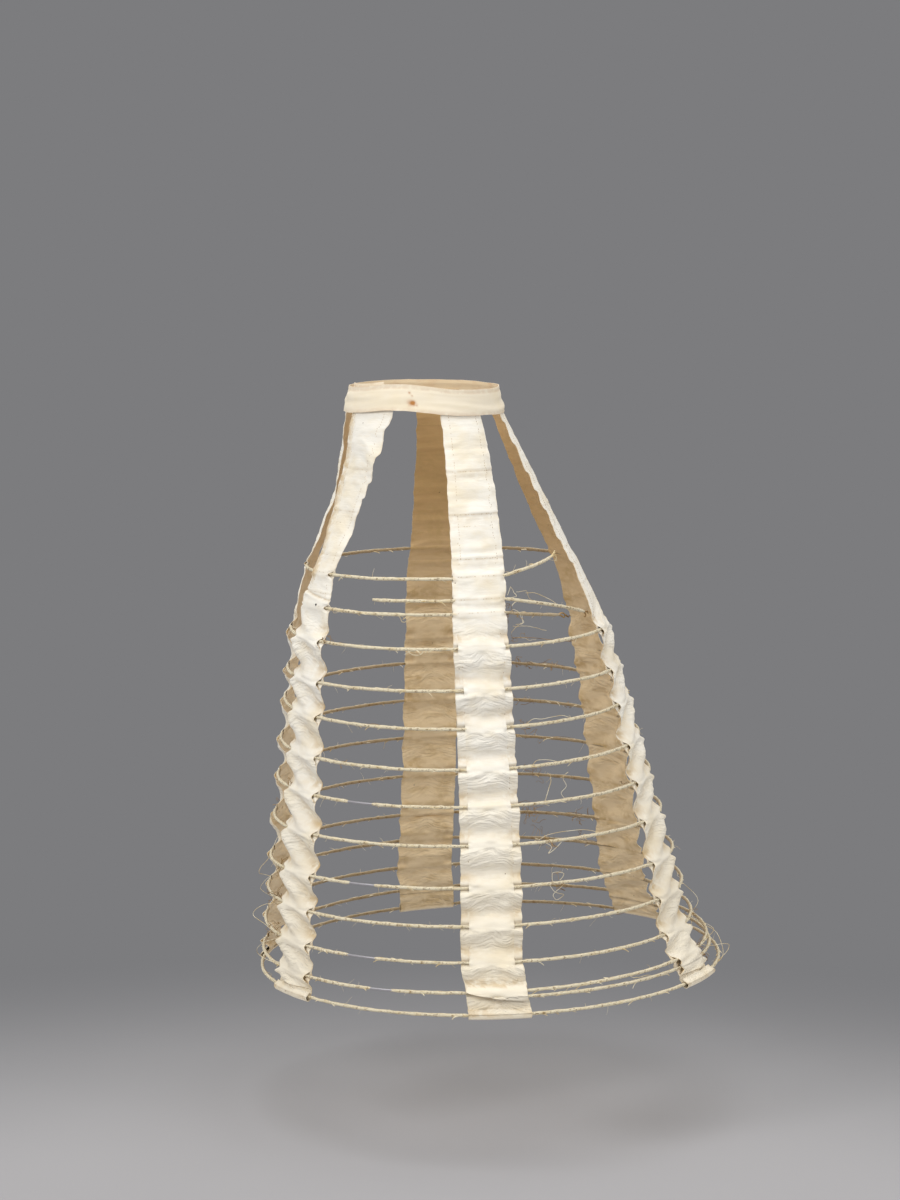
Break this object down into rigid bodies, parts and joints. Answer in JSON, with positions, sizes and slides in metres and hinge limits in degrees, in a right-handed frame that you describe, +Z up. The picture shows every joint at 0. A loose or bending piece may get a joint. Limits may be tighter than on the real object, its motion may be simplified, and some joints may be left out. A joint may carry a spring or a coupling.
{
  "type": "crinoline cage",
  "caption": "Child's crinoline cage: a cotton waistband with pocketed cotton tapes that carry cotton-wound steel wire hoops, some of them broken.",
  "frame": {"origin": "middle of the waistband, at the centre of the wearer's waist", "axes": "+Z up, -Y towards the wearer's front, +X towards the wearer's left"},
  "size_m": [0.5224, 0.517, 0.6605],
  "materials": {
    "cotton": "plain-woven cotton tape, creamed with age",
    "thread": "fine cotton thread wound round the wire, straw brown and fraying",
    "wire": "dull grey-blue steel wire",
    "rusted_wire": "rusted iron wire"
  },
  "bodies": {
    "root": {"waistband": "cotton", "waist_hook": "rusted_wire", "waist_eye": "rusted_wire", "front_left_tape": "cotton", "front_left_facing": "cotton", "front_right_tape": "cotton", "front_right_facing": "cotton", "side_left_tape": "cotton", "side_left_facing": "cotton", "side_right_tape": "cotton", "side_right_facing": "cotton", "back_left_tape": "cotton", "back_left_facing": "cotton", "back_right_tape": "cotton", "back_right_facing": "cotton", "hoop_01_wire": "wire", "hoop_01_cover": "thread", "hoop_02_wire": "wire", "hoop_02_cover": "thread", "hoop_03_wire": "wire", "hoop_03_cover": "thread", "hoop_04_wire": "wire", "hoop_04_cover": "thread", "hoop_05_wire": "wire", "hoop_05_cover": "thread", "hoop_06_wire": "wire", "hoop_06_cover": "thread", "hoop_07_wire": "wire", "hoop_07_cover": "thread", "hoop_08_wire": "wire", "hoop_08_cover": "thread", "hoop_09_wire": "wire", "hoop_09_cover": "thread", "hoop_10_wire": "wire", "hoop_10_cover": "thread", "hoop_11_wire": "wire", "hoop_11_cover": "thread", "hoop_12_wire": "wire", "hoop_12_cover": "thread", "hoop_13_wire": "wire", "hoop_13_cover": "thread", "hoop_14_wire": "wire", "hoop_14_cover": "thread", "hoop_15_wire": "wire", "hoop_15_cover": "thread"}
  },
  "joints": []
}
